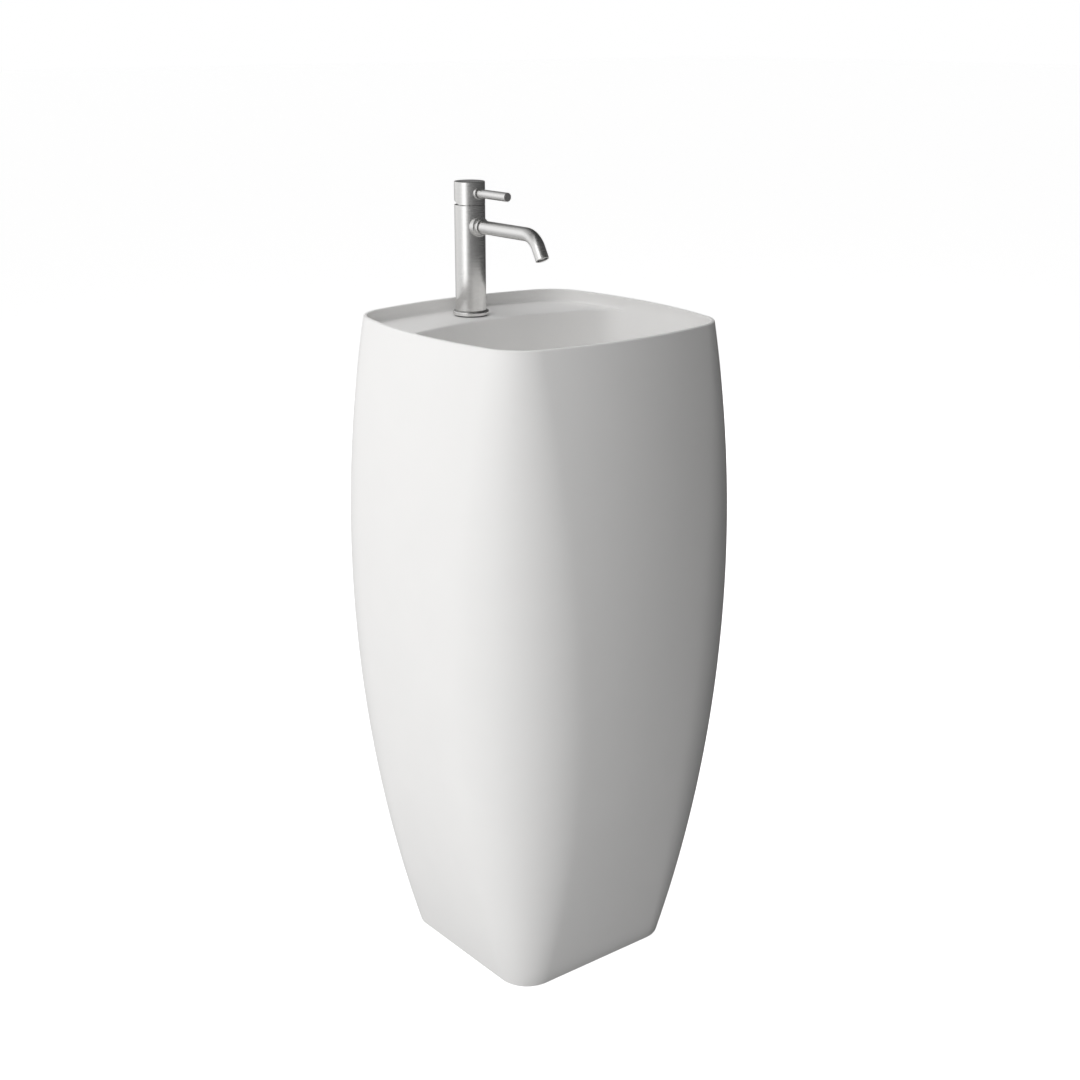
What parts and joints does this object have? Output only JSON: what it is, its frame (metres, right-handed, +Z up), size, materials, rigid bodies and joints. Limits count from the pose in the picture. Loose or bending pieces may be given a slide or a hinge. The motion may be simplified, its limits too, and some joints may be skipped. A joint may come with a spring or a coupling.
{
  "type": "pedestal sink",
  "caption": "Freestanding white pedestal basin with a barrel-sided square column, a recessed bowl and rear deck, and a brushed steel lever mixer tap.",
  "frame": {"origin": "on the floor, under the middle of the column's foot and belly", "axes": "+Z up, -Y to the front where the spout points, +X to the right of a person who faces the basin"},
  "size_m": [0.4498, 0.4498, 1.0634],
  "materials": {
    "casting": "satin white cast mineral",
    "brushed_steel": "fine brushed stainless steel",
    "polished_steel": "polished",
    "plain_steel": "turned",
    "brass": "machined",
    "rubber": "matte",
    "disc_ceramic": "lapped",
    "black_plastic": "moulded",
    "white_plastic": "moulded"
  },
  "bodies": {
    "basin": {"column_shell": "casting", "basin_bowl": "casting", "base_flange": "brushed_steel", "tap_body": "brushed_steel", "spout_tube": "brushed_steel", "spout_collar": "brushed_steel", "cartridge_nut": "polished_steel", "waste_body": "polished_steel", "mounting_washer": "plain_steel", "plug_spring": "plain_steel", "mounting_shank": "brass", "mounting_nut": "brass", "hot_inlet_tail": "brass", "cold_inlet_tail": "brass", "waste_lock_nut": "brass", "base_gasket": "rubber", "cartridge_seal": "rubber", "mounting_seal": "rubber", "waste_gasket": "rubber", "waste_washer": "rubber", "trap_inlet_seal": "rubber", "dip_tube_seal": "rubber", "trap_cup_seal": "rubber", "trap_outlet_seal": "rubber", "floor_pipe_seal": "rubber", "fixed_disc": "disc_ceramic", "aerator_housing": "black_plastic", "cartridge_housing": "black_plastic", "aerator_insert": "white_plastic", "trap_inlet_nut": "white_plastic", "dip_tube": "white_plastic", "dip_tube_nut": "white_plastic", "trap_body": "white_plastic", "trap_cup": "white_plastic", "trap_outlet_nut": "white_plastic", "outlet_elbow": "white_plastic", "floor_pipe": "white_plastic", "floor_collar": "white_plastic"},
    "turner": {"spindle_holder": "black_plastic", "pivot_pin": "plain_steel"},
    "handle": {"handle_cap": "brushed_steel", "lever_rod": "brushed_steel", "lever_collar": "brushed_steel", "grub_screw": "plain_steel", "cartridge_spindle": "plain_steel"},
    "disc_set": {"moving_disc": "disc_ceramic", "disc_slider": "black_plastic"},
    "plug": {"waste_plug": "polished_steel", "plug_seal": "rubber", "plug_stem": "plain_steel", "plug_stop_nut": "plain_steel"}
  },
  "joints": [
    {"name": "handle_turn", "type": "hinge", "parent": "basin", "child": "turner", "pos_m": [0, 0.148, 1.033], "axis": [0, 0, 1], "range_deg": [-45, 45]},
    {"name": "handle_lift", "type": "hinge", "parent": "turner", "child": "handle", "pos_m": [0, 0.148, 1.033], "axis": [-1, 0, 0], "range_deg": [0, 20]},
    {"name": "disc_slide", "type": "slide", "parent": "turner", "child": "disc_set", "axis": [0, -1, 0], "range_m": [0, 0.003]},
    {"name": "plug_press", "type": "slide", "parent": "basin", "child": "plug", "axis": [0, 0, 1], "range_m": [-0.008, 0], "stiffness_N_per_m": 400, "springref_m": 0.012, "deforming": ["plug_spring"]}
  ],
  "couplings": [
    {"joint": "disc_slide", "follows": "handle_lift", "m_per_rad": 0.008}
  ]
}
